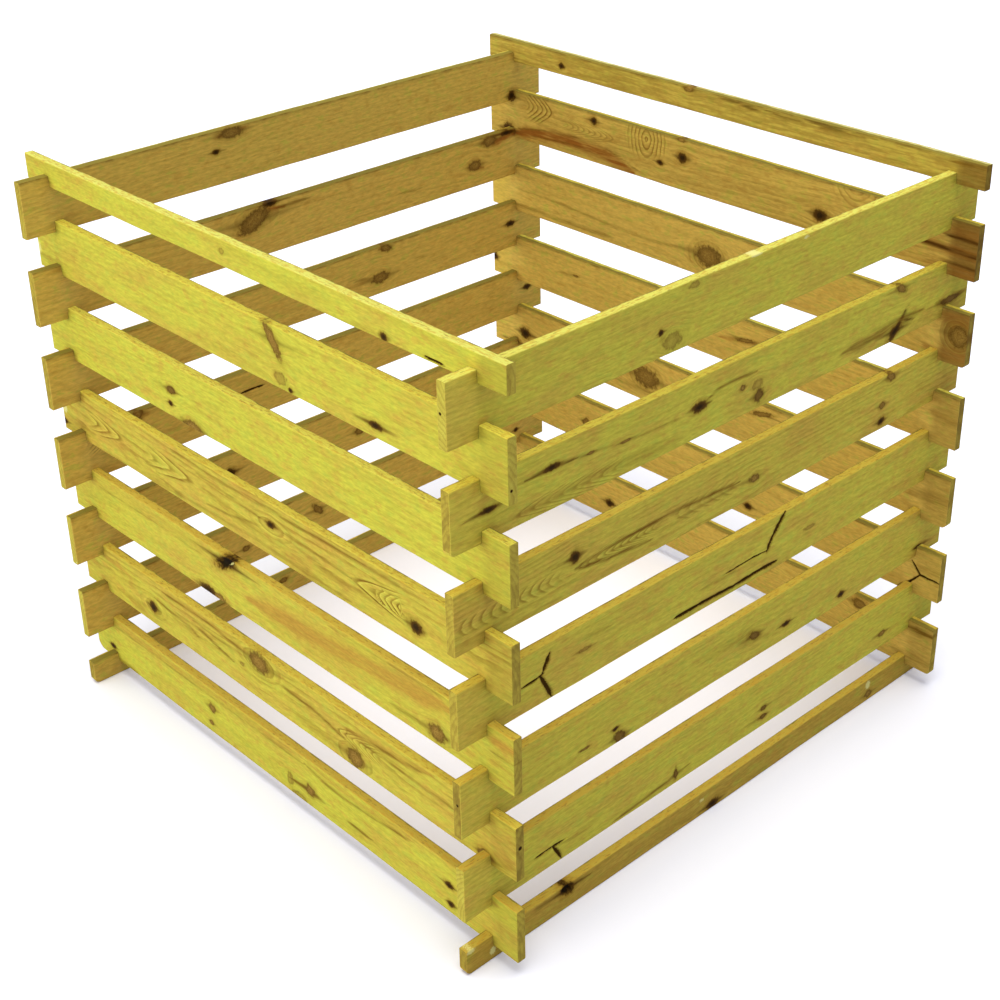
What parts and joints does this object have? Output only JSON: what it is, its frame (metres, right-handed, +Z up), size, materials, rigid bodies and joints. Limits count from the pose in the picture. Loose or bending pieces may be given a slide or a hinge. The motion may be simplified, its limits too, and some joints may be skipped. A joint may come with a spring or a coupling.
{
  "type": "wooden composter",
  "caption": "Square open-topped garden composter of notched softwood boards stacked crosswise, lifting apart board by board.",
  "frame": {"origin": "on the ground at the centre of the square footprint", "axes": "+Z up; +X to the right of the front boards; -Y is the front, whose boards lie along X"},
  "size_m": [1, 1, 0.864],
  "materials": {
    "treated_pine": "planed softwood with a yellow-green tint like that of pressure treatment, matt, with dark knots"
  },
  "bodies": {
    "base_square": {"right_foot_board": "treated_pine", "left_foot_board": "treated_pine", "front_board_1": "treated_pine", "back_board_1": "treated_pine"},
    "right_board_1": {"right_board_1": "treated_pine"},
    "left_board_1": {"left_board_1": "treated_pine"},
    "front_board_2": {"front_board_2": "treated_pine"},
    "back_board_2": {"back_board_2": "treated_pine"},
    "right_board_2": {"right_board_2": "treated_pine"},
    "left_board_2": {"left_board_2": "treated_pine"},
    "front_board_3": {"front_board_3": "treated_pine"},
    "back_board_3": {"back_board_3": "treated_pine"},
    "right_board_3": {"right_board_3": "treated_pine"},
    "left_board_3": {"left_board_3": "treated_pine"},
    "front_board_4": {"front_board_4": "treated_pine"},
    "back_board_4": {"back_board_4": "treated_pine"},
    "right_board_4": {"right_board_4": "treated_pine"},
    "left_board_4": {"left_board_4": "treated_pine"},
    "front_board_5": {"front_board_5": "treated_pine"},
    "back_board_5": {"back_board_5": "treated_pine"},
    "right_board_5": {"right_board_5": "treated_pine"},
    "left_board_5": {"left_board_5": "treated_pine"},
    "front_board_6": {"front_board_6": "treated_pine"},
    "back_board_6": {"back_board_6": "treated_pine"},
    "right_board_6": {"right_board_6": "treated_pine"},
    "left_board_6": {"left_board_6": "treated_pine"},
    "front_top_board": {"front_top_board": "treated_pine"},
    "back_top_board": {"back_top_board": "treated_pine"}
  },
  "joints": [
    {"name": "right_board_1_lift", "type": "slide", "parent": "base_square", "child": "right_board_1", "axis": [0, 0, 1], "range_m": [0, 0.03]},
    {"name": "left_board_1_lift", "type": "slide", "parent": "right_board_1", "child": "left_board_1", "axis": [0, 0, 1], "range_m": [0, 0.03]},
    {"name": "front_board_2_lift", "type": "slide", "parent": "left_board_1", "child": "front_board_2", "axis": [0, 0, 1], "range_m": [0, 0.03]},
    {"name": "back_board_2_lift", "type": "slide", "parent": "front_board_2", "child": "back_board_2", "axis": [0, 0, 1], "range_m": [0, 0.03]},
    {"name": "right_board_2_lift", "type": "slide", "parent": "back_board_2", "child": "right_board_2", "axis": [0, 0, 1], "range_m": [0, 0.03]},
    {"name": "left_board_2_lift", "type": "slide", "parent": "right_board_2", "child": "left_board_2", "axis": [0, 0, 1], "range_m": [0, 0.03]},
    {"name": "front_board_3_lift", "type": "slide", "parent": "left_board_2", "child": "front_board_3", "axis": [0, 0, 1], "range_m": [0, 0.03]},
    {"name": "back_board_3_lift", "type": "slide", "parent": "front_board_3", "child": "back_board_3", "axis": [0, 0, 1], "range_m": [0, 0.03]},
    {"name": "right_board_3_lift", "type": "slide", "parent": "back_board_3", "child": "right_board_3", "axis": [0, 0, 1], "range_m": [0, 0.03]},
    {"name": "left_board_3_lift", "type": "slide", "parent": "right_board_3", "child": "left_board_3", "axis": [0, 0, 1], "range_m": [0, 0.03]},
    {"name": "front_board_4_lift", "type": "slide", "parent": "left_board_3", "child": "front_board_4", "axis": [0, 0, 1], "range_m": [0, 0.03]},
    {"name": "back_board_4_lift", "type": "slide", "parent": "front_board_4", "child": "back_board_4", "axis": [0, 0, 1], "range_m": [0, 0.03]},
    {"name": "right_board_4_lift", "type": "slide", "parent": "back_board_4", "child": "right_board_4", "axis": [0, 0, 1], "range_m": [0, 0.03]},
    {"name": "left_board_4_lift", "type": "slide", "parent": "right_board_4", "child": "left_board_4", "axis": [0, 0, 1], "range_m": [0, 0.03]},
    {"name": "front_board_5_lift", "type": "slide", "parent": "left_board_4", "child": "front_board_5", "axis": [0, 0, 1], "range_m": [0, 0.03]},
    {"name": "back_board_5_lift", "type": "slide", "parent": "front_board_5", "child": "back_board_5", "axis": [0, 0, 1], "range_m": [0, 0.03]},
    {"name": "right_board_5_lift", "type": "slide", "parent": "back_board_5", "child": "right_board_5", "axis": [0, 0, 1], "range_m": [0, 0.03]},
    {"name": "left_board_5_lift", "type": "slide", "parent": "right_board_5", "child": "left_board_5", "axis": [0, 0, 1], "range_m": [0, 0.03]},
    {"name": "front_board_6_lift", "type": "slide", "parent": "left_board_5", "child": "front_board_6", "axis": [0, 0, 1], "range_m": [0, 0.03]},
    {"name": "back_board_6_lift", "type": "slide", "parent": "front_board_6", "child": "back_board_6", "axis": [0, 0, 1], "range_m": [0, 0.03]},
    {"name": "right_board_6_lift", "type": "slide", "parent": "back_board_6", "child": "right_board_6", "axis": [0, 0, 1], "range_m": [0, 0.03]},
    {"name": "left_board_6_lift", "type": "slide", "parent": "right_board_6", "child": "left_board_6", "axis": [0, 0, 1], "range_m": [0, 0.03]},
    {"name": "front_top_board_lift", "type": "slide", "parent": "left_board_6", "child": "front_top_board", "axis": [0, 0, 1], "range_m": [0, 0.03]},
    {"name": "back_top_board_lift", "type": "slide", "parent": "front_top_board", "child": "back_top_board", "axis": [0, 0, 1], "range_m": [0, 0.03]}
  ]
}
